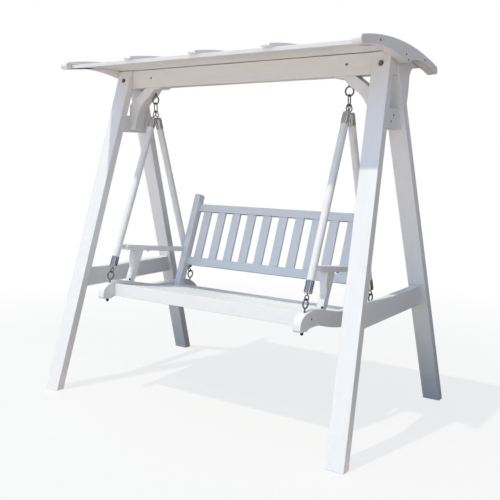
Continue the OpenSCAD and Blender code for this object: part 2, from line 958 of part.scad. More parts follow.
// Curved bearers under the slats: one on each seat rail and one in the middle
module seat_bearers() {
    steps = 10;
    low = -80;
    end_y = post_face_y(low);
    color(paint)
        bench()
            for (place = [[-seat_in, end_y], [-bearer_w / 2, rear_rail_y], [seat_in - bearer_w, end_y]])
                across(place[0], place[0] + bearer_w)
                    polygon(concat(
                        [for (i = [0 : steps])
                            let (y = seat_from + (place[1] - seat_from) * i / steps)
                                [y, seat_z(y) - seat_slat_t - 3 * seam]],
                        [for (i = [steps : -1 : 0])
                            let (y = seat_from + (place[1] - seat_from) * i / steps)
                                [y, seat_z(y) - seat_slat_t - bearer_h]]));
}

// Slats across the seat; those beside the back posts are shorter
module seat_slats() {
    round_r = 3;
    color(paint)
        bench()
            for (i = [0 : seat_slat_n - 1]) {
                y = seat_from + seat_slat_gap / 2 + i * (seat_slat_w + seat_slat_gap);
                mid = y + seat_slat_w / 2;
                slope = atan((seat_z(y + seat_slat_w) - seat_z(y)) / seat_slat_w);
                half = y + seat_slat_w > post_face_y(-60) - 1 ? post_in : seat_in;
                translate([0, mid, seat_z(mid)])
                    rotate([slope, 0, 0])
                        across(-half + seam, half - seam)
                            translate([-seat_slat_w / 2 + round_r, -seat_slat_t])
                                union() {
                                    square([seat_slat_w - 2 * round_r, seat_slat_t]);
                                    translate([-round_r, 0])
                                        square([seat_slat_w, seat_slat_t - round_r]);
                                    for (x = [0, seat_slat_w - 2 * round_r])
                                        translate([x, seat_slat_t - round_r])
                                            circle(r = round_r, $fn = 24);
                                }
            }
}

// Screws through a seat rail into the front rail, the post and the rear rail
module bench_screw_places(side) {
    bench()
        on_side(side)
            for (p = [[-seat_front + cross_t / 2, -31], [post_y + 12, -40],
                      [rear_rail_y + cross_t / 2, -54]])
                translate([hang_x + rail_half, p[0], p[1]])
                    children();
}

// ---------------------------------------------------------------- back

module back_post(side) {
    round_r = 9;
    color(paint)
        difference() {
            back()
                on_side(side)
                    across(post_in, seat_in)
                        union() {
                            translate([0, -post_foot])
                                square([post_d, post_foot + post_top - round_r]);
                            translate([0, post_top - round_r])
                                square([post_d - round_r, round_r]);
                            translate([post_d - round_r, post_top - round_r])
                                circle(r = round_r);
                        }
            bench_screw_places(side)
                screw_cut();
            bench()
                translate([-far / 2, rear_rail_y, -far / 2])
                    cube([far, far, far / 2 + seat_z(rear_rail_y)]);
        }
}

module back_rail(z, h) {
    difference() {
        translate([-post_in, back_rail_in, z])
            cube([2 * post_in, back_rail_t, h]);
        back_slat_places()
            cube([back_slat_w + 2 * seam, back_slat_t + 2 * seam,
                  back_top_z - back_low_z - back_low_h + 2 * slat_let + 2 * seam], center = true);
    }
}

module back_top_rail() {
    color(paint)
        back()
            back_rail(back_top_z, back_top_h);
}

module back_lower_rail() {
    color(paint)
        back()
            back_rail(back_low_z, back_low_h);
}

// Centres of the back slats
module back_slat_places() {
    mid_z = (back_top_z + back_low_z + back_low_h) / 2;
    for (i = [0 : back_slat_n - 1])
        translate([(i - (back_slat_n - 1) / 2) * back_slat_pitch, back_rail_in + back_rail_t / 2, mid_z])
            children();
}

module back_slats() {
    round_r = 2.5;
    length = back_top_z - back_low_z - back_low_h + 2 * slat_let;
    color(paint)
        back()
            back_slat_places()
                translate([0, 0, -length / 2])
                    linear_extrude(length)
                        union() {
                            square([back_slat_w, back_slat_t - 2 * round_r], center = true);
                            square([back_slat_w - 2 * round_r, back_slat_t], center = true);
                            for (x = [-1, 1], y = [-1, 1])
                                translate([x * (back_slat_w / 2 - round_r), y * (back_slat_t / 2 - round_r)])
                                    circle(r = round_r, $fn = 24);
                        }
}

// ---------------------------------------------------------------- arms

// An armrest that butts against the back post, with a rounded front
module armrest(side) {
    round_r = 8;
    low = arm_z - arm_t;
    color(paint)
        bench()
            on_side(side)
                across(hang_x + rail_half - arm_w, hang_x + rail_half)
                    union() {
                        polygon([[-arm_front + round_r, low], [post_face_y(low), low],
                                 [post_face_y(arm_z), arm_z], [-arm_front + round_r, arm_z]]);
                        translate([-arm_front, low + round_r])
                            square([round_r, arm_t - 2 * round_r]);
                        for (z = [low + round_r, arm_z - round_r])
                            translate([-arm_front + round_r, z])
                                circle(r = round_r);
                    }
}

// An S-shaped arm post on the seat rail's crest, notched behind its foot for a bolt
module arm_post(side) {
    foot = 10;
    head = arm_z - arm_t;
    front = smooth([[-243, foot], [-237, 40], [-228, 66], [-223, 82], [-227, 104], [-232, 126],
                    [-230, 148], [-225, head]], 6);
    rear = smooth([[-157, head], [-164, 146], [-177, 108], [-190, 72], [-198, 40], [-205, foot + 4]], 6);
    notch = [[-212, foot + 3], [-212, foot - 12], [-243, foot - 12]];
    color(paint)
        bench()
            on_side(side)
                across(hang_x - arm_post_t / 2, hang_x + arm_post_t / 2)
                    difference() {
                        polygon(concat(front, rear, notch));
                        seat_rail_outline();
                    }
}

// Domed screws of the bench, through the seat rails
module bench_bolts() {
    color(steel)
        for (side = [-1, 1])
            bench_screw_places(side)
                screw();
}

// ---------------------------------------------------------------- nodes

leg(-1, false);  // leg_front_left
leg(1, false);  // leg_front_right
leg(-1, true);  // leg_rear_left
leg(1, true);  // leg_rear_right
side_rail(-1, lower_rail_z, false);  // lower_rail_left
side_rail(1, lower_rail_z, false);  // lower_rail_right
side_rail(-1, upper_rail_z, true);  // upper_rail_left
side_rail(1, upper_rail_z, true);  // upper_rail_right
beam();
knee_brace(-1);  // knee_brace_left
knee_brace(1);  // knee_brace_right
corbel(-1);  // corbel_left
corbel(1);  // corbel_right
rafter(-1);  // rafter_left
rafter(1);  // rafter_right
roof_board(1);  // roof_board_1
roof_board(2);  // roof_board_2
roof_board(3);  // roof_board_3
roof_board(4);  // roof_board_4
roof_board(5);  // roof_board_5
roof_board(6);  // roof_board_6
roof_board(7);  // roof_board_7
roof_batten(-batten_x);  // roof_batten_left
roof_batten(0);  // roof_batten_mid
roof_batten(batten_x);  // roof_batten_right
leg_bolts();
rafter_screws();
frame_screws();
barrel_nuts();
beam_eye(-1);  // beam_eye_left
beam_eye(1);  // beam_eye_right
swing_link(-1);  // swing_link_left
swing_link(1);  // swing_link_right
rod(-1, -1);  // rod_front_left
rod(1, -1);  // rod_front_right
rod(-1, 1);  // rod_rear_left
rod(1, 1);  // rod_rear_right
ferrules(true);  // ferrules_upper
ferrules(false);  // ferrules_lower
rod_eyes(true);  // rod_eyes_upper
rod_eyes(false);  // rod_eyes_lower
rail_eyes();
rail_nuts();
seat_rail(-1);  // seat_rail_left
seat_rail(1);  // seat_rail_right
seat_front_rail();
seat_rear_rail();
seat_bearers();
seat_slats();
back_post(-1);  // back_post_left
back_post(1);  // back_post_right
back_top_rail();
back_lower_rail();
back_slats();
armrest(-1);  // armrest_left
armrest(1);  // armrest_right
arm_post(-1);  // arm_post_left
arm_post(1);  // arm_post_right
bench_bolts();
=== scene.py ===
"""Looks of a porch swing seat: its finishes, its small fittings, the studio round it and the camera."""

import logging
import math
from dataclasses import dataclass, field
from enum import Enum
from typing import Dict, Iterable, List, Optional, Sequence, Tuple, Union

import bmesh
import bpy
from mathutils import Matrix, Vector


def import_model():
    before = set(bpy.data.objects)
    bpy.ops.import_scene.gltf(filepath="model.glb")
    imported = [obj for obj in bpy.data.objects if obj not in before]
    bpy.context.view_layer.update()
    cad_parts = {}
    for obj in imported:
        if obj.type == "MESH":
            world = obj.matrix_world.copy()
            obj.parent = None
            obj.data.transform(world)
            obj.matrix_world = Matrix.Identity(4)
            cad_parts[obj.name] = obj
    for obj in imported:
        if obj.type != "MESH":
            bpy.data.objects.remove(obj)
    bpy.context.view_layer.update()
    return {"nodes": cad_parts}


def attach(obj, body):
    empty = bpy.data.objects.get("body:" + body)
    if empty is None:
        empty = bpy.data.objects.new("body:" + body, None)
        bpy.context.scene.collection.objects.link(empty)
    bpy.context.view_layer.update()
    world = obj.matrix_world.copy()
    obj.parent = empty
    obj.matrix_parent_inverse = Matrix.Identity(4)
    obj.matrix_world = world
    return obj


log = logging.getLogger("porch_swing_seat")

Colour = Tuple[float, float, float, float]
Point = Tuple[float, float, float]
Span = Tuple[float, float]


def grey(value: float, red: float = 1.0, blue: float = 1.0) -> Colour:
    """Return a near-neutral colour with its red and blue scaled."""
    return (value * red, value, value * blue, 1.0)


# ---------------------------------------------------------------- shader graphs


class Wire:
    """An output socket that stands in arithmetic; every operation adds a Math node."""

    def __init__(self, graph: "Graph", socket: bpy.types.NodeSocket) -> None:
        """Keep the graph and the socket that this wire starts from."""
        self.graph = graph
        self.socket = socket

    def _math(self, operation: str, *values: "Value") -> "Wire":
        """Add one Math node.

        Args:
            operation: Name of the Math operation.
            values: Numbers or wires of its sockets, in order.

        Returns:
            The wire of the result.
        """
        return self.graph.add("ShaderNodeMath", {"operation": operation}, dict(enumerate(values)))

    def __add__(self, other: "Value") -> "Wire":
        """Return self + other."""
        return self._math("ADD", self, other)

    def __radd__(self, other: "Value") -> "Wire":
        """Return other + self."""
        return self._math("ADD", other, self)

    def __sub__(self, other: "Value") -> "Wire":
        """Return self - other."""
        return self._math("SUBTRACT", self, other)

    def __rsub__(self, other: "Value") -> "Wire":
        """Return other - self."""
        return self._math("SUBTRACT", other, self)

    def __mul__(self, other: "Value") -> "Wire":
        """Return self * other."""
        return self._math("MULTIPLY", self, other)

    def __rmul__(self, other: "Value") -> "Wire":
        """Return other * self."""
        return self._math("MULTIPLY", other, self)

    def step(self, low: float, high: float) -> "Wire":
        """Add a smooth step.

        Args:
            low: Value up to which the step is 0.
            high: Value from which the step is 1.

        Returns:
            The step, from 0 to 1.
        """
        return self.graph.add(
            "ShaderNodeMapRange",
            {"interpolation_type": "SMOOTHSTEP"},
            {"Value": self, "From Min": low, "From Max": high},
        )


Value = Union[int, float, Wire]
Setting = Union[str, int, float, bool]
Input = Union[Value, Sequence[float]]


class Graph:
    """A node tree that is filled by expressions."""

    def __init__(self, tree: bpy.types.NodeTree) -> None:
        """Empty the tree and keep it."""
        self.tree = tree
        tree.nodes.clear()

    def add(
        self,
        kind: str,
        settings: Optional[Dict[str, Setting]] = None,
        inputs: Optional[Dict[Union[int, str], Input]] = None,
        output: Union[int, str] = 0,
    ) -> Wire:
        """Add a node.

        Args:
            kind: Type of the node.
            settings: Its own settings, which are set first.
            inputs: Values or wires of its sockets.
            output: Socket that the returned wire starts from.

        Returns:
            The wire of that output.
        """
        node = self.tree.nodes.new(kind)
        for key, value in (settings or {}).items():
            setattr(node, key, value)
        for key, value in (inputs or {}).items():
            if isinstance(value, Wire):
                self.tree.links.new(value.socket, node.inputs[key])
            else:
                node.inputs[key].default_value = value
        return Wire(self, node.outputs[output])

    def end(self, kind: str, shader: Wire) -> None:
        """Add the output node and join a shader to its surface."""
        self.tree.links.new(shader.socket, self.tree.nodes.new(kind).inputs["Surface"])

    def blend(self, first: Union[Wire, Colour], second: Union[Wire, Colour], share: Value) -> Wire:
        """Mix two colours.

        Args:
            first: Colour where share is 0.
            second: Colour where share is 1.
            share: How much of the second shows.

        Returns:
            The mixed colour.
        """
        settings = {"data_type": "RGBA", "clamp_factor": True}
        return self.add("ShaderNodeMix", settings, {0: share, 6: first, 7: second}, 2)

    def noise(self, place: Wire, size: float, detail: float = 2.0, twist: float = 0.0) -> Wire:
        """Add a noise whose lumps are about a size, in metres.

        Args:
            place: Coordinates in metres.
            size: Width of a lump.
            detail: Number of finer layers.
            twist: Distortion.

        Returns:
            The noise, from 0 to 1.
        """
        inputs = {"Vector": place, "Scale": 1.0 / size, "Detail": detail, "Distortion": twist}
        return self.add("ShaderNodeTexNoise", {"noise_dimensions": "3D"}, inputs)

    def stretch(self, place: Wire, by: Point) -> Wire:
        """Scale coordinates along each axis."""
        return self.add("ShaderNodeVectorMath", {"operation": "MULTIPLY"}, {0: place, 1: by})

    def along(self, place: Wire, aim: Point) -> Wire:
        """Measure coordinates along a direction."""
        return self.add("ShaderNodeVectorMath", {"operation": "DOT_PRODUCT"}, {0: place, 1: aim}, "Value")

    def edges(self, radius: float) -> Wire:
        """Find convex and concave edges.

        Args:
            radius: Reach of an edge, in metres.

        Returns:
            0 on flat ground, rising towards an edge.
        """
        soft = self.add("ShaderNodeBevel", {"samples": 4}, {"Radius": radius})
        flat = self.add("ShaderNodeNewGeometry", output="Normal")
        facing = self.add("ShaderNodeVectorMath", {"operation": "DOT_PRODUCT"}, {0: soft, 1: flat}, "Value")
        return (1.0 - facing).step(0.01, 0.25)


def along_axis(graph: Graph, axis: Vector) -> Wire:
    """Turn object coordinates so that a direction becomes their Z axis.

    Args:
        graph: Graph to add to.
        axis: Direction of the timber or rod.

    Returns:
        Turned coordinates, in metres.
    """
    turn = axis.rotation_difference(Vector((0, 0, 1))).to_euler()
    place = graph.add("ShaderNodeTexCoord", output="Object")
    return graph.add("ShaderNodeMapping", {"vector_type": "POINT"}, {"Vector": place, "Rotation": turn})


def surface(graph: Graph, bump: Wire, depth: float, **inputs: Input) -> None:
    """End a material graph in a Principled surface.

    Args:
        graph: Graph of the material.
        bump: Height of the relief, from 0 to 1.
        depth: Depth of the relief, in metres.
        inputs: Sockets of the surface, with _ for a space.
    """
    normal = graph.add("ShaderNodeBump", None, {"Strength": 1.0, "Distance": depth, "Height": bump})
    sockets = {key.replace("_", " "): value for key, value in inputs.items()}
    shader = graph.add("ShaderNodeBsdfPrincipled", None, {**sockets, "Normal": normal})
    graph.end("ShaderNodeOutputMaterial", shader)


# ---------------------------------------------------------------- finishes


@dataclass(frozen=True)
class PaintedTimber:
    """White satin paint, brushed over planed softwood along its grain."""

    paint: Colour = grey(0.80, 0.985, 1.01)
    thin_paint: Colour = grey(0.70, 1.02, 0.95)
    knot_stain: Colour = grey(0.60, 1.12, 0.72)
    worn: Colour = grey(0.50, 1.1, 0.80)
    gloss: float = 0.40
    ring: float = 0.009
    stroke: float = 0.0026
    patch: float = 0.09
    knots_per_m: float = 5.5
    worn_edge: float = 0.004
    relief: float = 0.00022
    grain_show: float = 0.22
    patch_show: float = 0.2
    knot_show: float = 0.16
    wear_show: float = 0.55

    def make(self, name: str, axis: Vector) -> bpy.types.Material:
        """Make the material for timber that runs along one direction.

        Args:
            name: Name of the material.
            axis: Direction of the grain.

        Returns:
            The material.
        """
        material = bpy.data.materials.new(name)
        material.use_nodes = True
        graph = Graph(material.node_tree)
        place = along_axis(graph, axis)
        rings = graph.noise(graph.stretch(place, (1, 1, 0.05)), self.ring, 3.0, 1.2)
        grain = rings.step(0.38, 0.62) * 0.6 + rings * 0.4
        strokes = graph.noise(graph.stretch(place, (1, 1, 0.02)), self.stroke, 2.0)
        patches = graph.noise(graph.stretch(place, (1, 1, 0.3)), self.patch, 3.0, 0.4)
        cells = graph.add(
            "ShaderNodeTexVoronoi",
            {"feature": "F1"},
            {"Vector": graph.stretch(place, (1, 1, 0.30)), "Scale": self.knots_per_m, "Randomness": 1.0},
            "Distance",
        )
        knots = 1.0 - cells.step(0.03, 0.085)
        wear = graph.edges(self.worn_edge) * graph.noise(place, 0.02, 4.0).step(0.46, 0.66)
        thin = (1.0 - grain) * self.grain_show + patches.step(0.45, 0.75) * self.patch_show
        colour = graph.blend(self.paint, self.thin_paint, thin)
        colour = graph.blend(colour, self.knot_stain, knots * self.knot_show)
        colour = graph.blend(colour, self.worn, wear * self.wear_show)
        surface(
            graph,
            grain * 0.55 + strokes * 0.35 + patches * 0.5,
            self.relief,
            Base_Color=colour,
            Roughness=self.gloss - 0.05 + patches * 0.10 + (1.0 - strokes) * 0.06 + wear * 0.2,
        )
        return material


@dataclass(frozen=True)
class Steel:
    """Metal with fine draw marks, finger smears and a little tarnish in spots among the smears."""

    bright: Colour
    dull: Colour
    gloss: float
    smear: float = 0.10
    mark: float = 0.0004
    print_size: float = 0.012
    spot: float = 0.003
    relief: float = 0.00002
    tarnish: float = 0.4
    metal: float = 1.0
    sheen: float = 0.5

    def make(self, name: str, axis: Vector) -> bpy.types.Material:
        """Make the material for metal drawn along one direction.

        Args:
            name: Name of the material.
            axis: Direction of the draw marks.

        Returns:
            The material.
        """
        material = bpy.data.materials.new(name)
        material.use_nodes = True
        graph = Graph(material.node_tree)
        place = along_axis(graph, axis)
        marks = graph.noise(graph.stretch(place, (1, 1, 0.03)), self.mark, 1.0)
        smears = graph.noise(place, self.print_size, 3.0, 0.8)
        spots = graph.noise(place, self.spot, 4.0).step(0.56, 0.72) * smears.step(0.4, 0.7)
        colour = graph.blend(self.bright, self.dull, spots * self.tarnish + (1.0 - marks) * 0.12)
        surface(
            graph,
            marks * 0.3 + smears * 0.7,
            self.relief,
            Base_Color=colour,
            Metallic=self.metal,
            Specular_IOR_Level=self.sheen,
            Roughness=self.gloss + smears * self.smear + spots * 0.2,
        )
        return material


PAINT = PaintedTimber()
ROD_PAINT = PaintedTimber(ring=0.02, stroke=0.004, relief=0.00008, gloss=0.34)
FERRULE_STEEL = Steel(grey(0.62, 0.98, 1.02), grey(0.30, 1.05, 0.9), 0.07, 0.07)
LINK_STEEL = Steel(grey(0.24, 1.0, 1.02), grey(0.10, 1.1, 0.85), 0.22, 0.14)
# Near black and not metallic: black bolts, whose black also stands in for the shade in the barrel holes and
# in the gap under each arm post's foot, painted shade.
BOLT_STEEL = Steel(grey(0.018, 1.0, 1.05), grey(0.035, 1.15, 0.8), 0.42, 0.14, metal=0.0, sheen=0.22)
SCREW_STEEL = Steel(grey(0.30, 1.02, 0.97), grey(0.12, 1.15, 0.75), 0.30, 0.16)


class Library:
    """Makes each finish once for each direction it runs in."""

    def __init__(self) -> None:
        """Start with no material made."""
        self.made: Dict[str, bpy.types.Material] = {}

    def get(self, kind: str, finish: Union[PaintedTimber, Steel], axis: Vector) -> bpy.types.Material:
        """Return the material of a finish along a direction.

        Args:
            kind: Plain name of the finish.
            finish: The finish.
            axis: Direction it runs in.

        Returns:
            The material, made on the first call.
        """
        unit = axis.normalized()
        name = kind + "_" + "_".join(f"{round(v * 50):d}" for v in unit)
        if name not in self.made:
            self.made[name] = finish.make(name, unit)
        return self.made[name]


# ---------------------------------------------------------------- meshes


class Drive(Enum):
    """What is sunk into the head of a fastener."""

    PLAIN = "plain"
    SOCKET = "socket"
    CROSS = "cross"


def drive_reach(drive: Drive, angle: float, size: float) -> float:
    """Return the distance from the middle to a drive's wall.

    Args:
        drive: Kind of drive.
        angle: Direction from the middle, in radians.
        size: Half the width over the drive.

    Returns:
        The distance, in the units of size.
    """
    if drive is Drive.SOCKET:
        sector = (angle + math.pi / 6) % (math.pi / 3) - math.pi / 6
        return size * math.cos(math.pi / 6) / math.cos(sector)
    if drive is Drive.CROSS:
        wide, slim = sorted((abs(math.cos(angle)), abs(math.sin(angle))), reverse=True)
        return min(size / wide, 0.3 * size / max(slim, 1e-6))
    return size


@dataclass
class Head:
    """A fastener's head and the stub of its shank, built along +Z from its seat at z = 0."""

    width: float = 0.011
    height: float = 0.003
    shank: float = 0.005
    stub: float = 0.006
    drive: Drive = Drive.CROSS
    washer: float = 0.0
    washer_thick: float = 0.0015
    sides: int = 32

    def rings(self) -> List[Tuple[Drive, float, float]]:
        """Work out the head's rings, from the stub's end to the drive's floor.

        Returns:
            The rings, each a kind of outline, a radius and a height.
        """
        r = self.width / 2
        rings = [(Drive.PLAIN, self.shank / 2, -self.stub), (Drive.PLAIN, self.shank / 2, 0.0)]
        lift = 0.0
        if self.washer:
            half = self.washer / 2
            lift = self.washer_thick
            rings += [(Drive.PLAIN, half - 0.0003, 0.0), (Drive.PLAIN, half, 0.0004)]
            rings += [(Drive.PLAIN, half, lift - 0.0003), (Drive.PLAIN, half - 0.0004, lift)]
        rings += [(Drive.PLAIN, r, lift), (Drive.PLAIN, r, lift + 0.12 * self.height)]
        for turn in (20, 40, 58, 72):
            a = math.radians(turn)
            rings.append((Drive.PLAIN, r * math.cos(a), lift + self.height * (0.12 + 0.88 * math.sin(a))))
        top = lift + self.height
        if self.drive is not Drive.PLAIN:
            size = 0.46 * r if self.drive is Drive.SOCKET else 0.55 * r
            rings[-1] = (Drive.PLAIN, 0.64 * r, lift + self.height * 0.86)
            rings += [(self.drive, size, top - 0.1 * self.height), (self.drive, 0.9 * size, 0.35 * top)]
        return rings

    def add_to(self, mesh: bmesh.types.BMesh, place: Matrix) -> None:
        """Add the head to a mesh.

        Args:
            mesh: Mesh that grows.
            place: Where the seat lies and the way the head points.
        """
        loops = []
        for kind, radius, z in self.rings():
            loop = []
            for i in range(self.sides):
                a = 2 * math.pi * i / self.sides
                reach = drive_reach(kind, a, radius)
                loop.append(mesh.verts.new(place @ Vector((reach * math.cos(a), reach * math.sin(a), z))))
            loops.append(loop)
        mesh.faces.new(list(reversed(loops[0])))
        for low, high in zip(loops, loops[1:]):
            for i in range(self.sides):
                j = (i + 1) % self.sides
                mesh.faces.new((low[i], low[j], high[j], high[i]))
        mesh.faces.new(loops[-1])


def piece_of(
    name: str, mesh: bmesh.types.BMesh, material: bpy.types.Material, smooth: float = 35
) -> bpy.types.Object:
    """Turn a bmesh into a linked object.

    Args:
        name: Name of the piece.
        mesh: Its mesh, which is freed.
        material: Its material.
        smooth: Angle in degrees under which faces are shaded smooth.

    Returns:
        The piece.
    """
    bmesh.ops.recalc_face_normals(mesh, faces=mesh.faces)
    for face in mesh.faces:
        face.smooth = True
    for edge in mesh.edges:
        edge.smooth = len(edge.link_faces) == 2 and edge.calc_face_angle(0.0) < math.radians(smooth)
    data = bpy.data.meshes.new(name)
    mesh.to_mesh(data)
    mesh.free()
    data.materials.append(material)
    piece = bpy.data.objects.new(name, data)
    bpy.context.scene.collection.objects.link(piece)
    return piece


def dress(node: bpy.types.Object, material: bpy.types.Material) -> None:
    """Give a piece one material in every slot.

    Args:
        node: Piece to dress.
        material: Its material.
    """
    if not node.material_slots:
        node.data.materials.append(material)
    for slot in node.material_slots:
        slot.link = "OBJECT"
        slot.material = material


def ease_edges(node: bpy.types.Object, width: float, segments: int = 2) -> None:
    """Round the sharp edges of a piece with modifiers.

    Args:
        node: Piece to ease.
        width: Width of the rounding, in metres.
        segments: Faces across the rounding.
    """
    weld = node.modifiers.new("weld", "WELD")
    weld.merge_threshold = 0.00001
    flats = node.modifiers.new("flats", "DECIMATE")
    flats.decimate_type = "DISSOLVE"
    flats.angle_limit = math.radians(0.5)
    bevel = node.modifiers.new("eased_edges", "BEVEL")
    bevel.width = width
    bevel.segments = segments
    bevel.limit_method = "ANGLE"
    bevel.angle_limit = math.radians(40)
    bevel.use_clamp_overlap = False
    bevel.miter_outer = "MITER_SHARP"
    normals = node.modifiers.new("normals", "WEIGHTED_NORMAL")
    normals.keep_sharp = False
    normals.weight = 100


# ---------------------------------------------------------------- sub-assemblies


@dataclass
class Shop:
    """What every sub-assembly works with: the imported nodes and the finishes."""

    nodes: Dict[str, bpy.types.Object]
    library: Library

    def timber(self, node: str, axis: Point, ease: float = 0.0025, finish: PaintedTimber = PAINT) -> None:
        """Paint a timber along its grain and ease its edges.

        Args:
            node: Name of the node.
            axis: Direction of its grain.
            ease: Width of its eased edges; 0 leaves them as they are.
            finish: Paint to use.
        """
        kind = "rod_paint" if finish is ROD_PAINT else "timber_paint"
        dress(self.nodes[node], self.library.get(kind, finish, Vector(axis)))
        if ease:
            ease_edges(self.nodes[node], ease)
        log.info("%s: %s", node, kind)

    def metal(self, node: str, kind: str, finish: Steel, axis: Point = (0, 0, 1)) -> None:
        """Give a metal node its finish.

        Args:
            node: Name of the node.
            kind: Plain name of the finish.
            finish: The finish.
            axis: Direction of its draw marks.
        """
        dress(self.nodes[node], self.library.get(kind, finish, Vector(axis)))
        log.info("%s: %s", node, kind)

    def fitting(
        self, name: str, body: str, mesh: bmesh.types.BMesh, finish: Steel, kind: str
    ) -> None:
        """Add a small metal piece that rides on a body.

        Args:
            name: Name of the piece.
            body: Body that carries it.
            mesh: Its mesh.
            finish: Its finish.
            kind: Plain name of the finish.
        """
        piece = piece_of(name, mesh, self.library.get(kind, finish, Vector((0, 0, 1))))
        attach(piece, body)
        log.info("%s: %s, on %s", name, kind, body)


@dataclass
class StandingFrame:
    """The two A-frames with their rails, the beam, its braces and the corbels."""

    foot_y: float = 0.575
    top_y: float = 0.052
    leg_h: float = 1.765
    splay: float = 2.8
    ease: float = 0.003
    corbel_ease: float = 0.002

    def leg_axis(self, side: int, end: int) -> Point:
        """Return the direction of a leg; side is 1 on the right, end is 1 at the back."""
        rise = (self.foot_y - self.top_y) / self.leg_h
        return (-side * math.tan(math.radians(self.splay)), -end * rise, 1.0)

    def dress(self, shop: Shop) -> None:
        """Paint every timber of the frame and finish its bolts and screws.

        Args:
            shop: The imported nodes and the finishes.
        """
        for side, hand in ((-1, "left"), (1, "right")):
            shop.timber(f"leg_front_{hand}", self.leg_axis(side, -1), self.ease)
            shop.timber(f"leg_rear_{hand}", self.leg_axis(side, 1), self.ease)
            shop.timber(f"lower_rail_{hand}", (0, 1, 0), self.ease)
            shop.timber(f"upper_rail_{hand}", (0, 1, 0), self.ease)
            shop.timber(f"knee_brace_{hand}", (side * 0.7, 0, -0.7), self.ease)
            shop.timber(f"corbel_{hand}", (0, 0.6, 0.8), self.corbel_ease)
        shop.timber("beam", (1, 0, 0), self.ease)
        shop.metal("leg_bolts", "link_steel", LINK_STEEL)
        shop.metal("barrel_nuts", "bolt_steel", BOLT_STEEL)
        shop.metal("frame_screws", "screw_steel", SCREW_STEEL)


@dataclass
class Roof:
    """The curved roof: end rafters, boards, battens and the pins that hold them."""

    arc_r: float = 1.850
    crown_z: float = 1.800
    crown_y: float = -0.022
    tilt: float = 3.1
    batten_h: float = 0.018
    board_w: float = 0.099
    board_gap: float = 0.003
    board_n: int = 7
    board_front: float = 0.387
    batten_x: Tuple[float, ...] = (-0.415, 0.0, 0.415)
    pin_off: float = 0.3
    pin_sink: float = 0.0002
    rafter_ease: float = 0.003
    board_ease: float = 0.0015
    batten_ease: float = 0.002
    pin: Head = field(default_factory=lambda: Head(0.007, 0.0005, 0.003, 0.004, Drive.PLAIN, sides=16))

    def pins(self) -> bmesh.types.BMesh:
        """Make the pins, two over each board in each batten.

        Returns:
            The mesh of all the pins.
        """
        mesh = bmesh.new()
        pitch = self.board_w + self.board_gap
        for i in range(self.board_n):
            for off in (-self.pin_off, self.pin_off):
                arc = -self.board_front + self.board_w / 2 + pitch * i + off * self.board_w
                for x in self.batten_x:
                    self.pin.add_to(mesh, self.place(x, arc))
        return mesh

    def place(self, x: float, arc: float) -> Matrix:
        """Return the place on top of a batten.

        Args:
            x: Distance from the middle of the roof.
            arc: Distance behind the crown, along the boards.

        Returns:
            A matrix whose Z axis stands on the roof.
        """
        angle = arc / (self.arc_r - self.batten_h)
        return (
            Matrix.Translation((x, self.crown_y, self.crown_z))
            @ Matrix.Rotation(-math.radians(self.tilt), 4, "X")
            @ Matrix.Translation((0, 0, -self.arc_r))
            @ Matrix.Rotation(-angle, 4, "X")
            @ Matrix.Translation((0, 0, self.arc_r - self.pin_sink))
        )

    def dress(self, shop: Shop) -> None:
        """Paint the roof, finish its screws and drive its pins.

        Args:
            shop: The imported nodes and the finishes.
        """
        for hand in ("left", "right"):
            shop.timber(f"rafter_{hand}", (0, 1, 0), self.rafter_ease)
        for i in range(self.board_n):
            shop.timber(f"roof_board_{i + 1}", (1, 0, 0), self.board_ease)
        for part in ("left", "mid", "right"):
            shop.timber(f"roof_batten_{part}", (0, 1, 0), self.batten_ease)
        shop.metal("rafter_screws", "screw_steel", SCREW_STEEL)
        shop.fitting("batten_pins", "frame", self.pins(), SCREW_STEEL, "screw_steel")


@dataclass
class Hangers:
    """The eyes, links, rods and ferrules that the bench hangs from."""

    front_lean: float = -0.36
    rear_lean: float = 0.33

    def dress(self, shop: Shop) -> None:
        """Give every hanger its finish.

        Args:
            shop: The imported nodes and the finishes.
        """
        for hand in ("left", "right"):
            shop.metal(f"beam_eye_{hand}", "link_steel", LINK_STEEL)
            shop.metal(f"swing_link_{hand}", "link_steel", LINK_STEEL)
            for end, lean in (("front", self.front_lean), ("rear", self.rear_lean)):
                shop.timber(f"rod_{end}_{hand}", (0, -lean, 1), 0.0, ROD_PAINT)
        for node in ("rod_eyes_upper", "rod_eyes_lower", "rail_eyes"):
            shop.metal(node, "link_steel", LINK_STEEL)
        for node in ("ferrules_upper", "ferrules_lower"):
            shop.metal(node, "ferrule_steel", FERRULE_STEEL)
        shop.metal("rail_nuts", "bolt_steel", BOLT_STEEL)


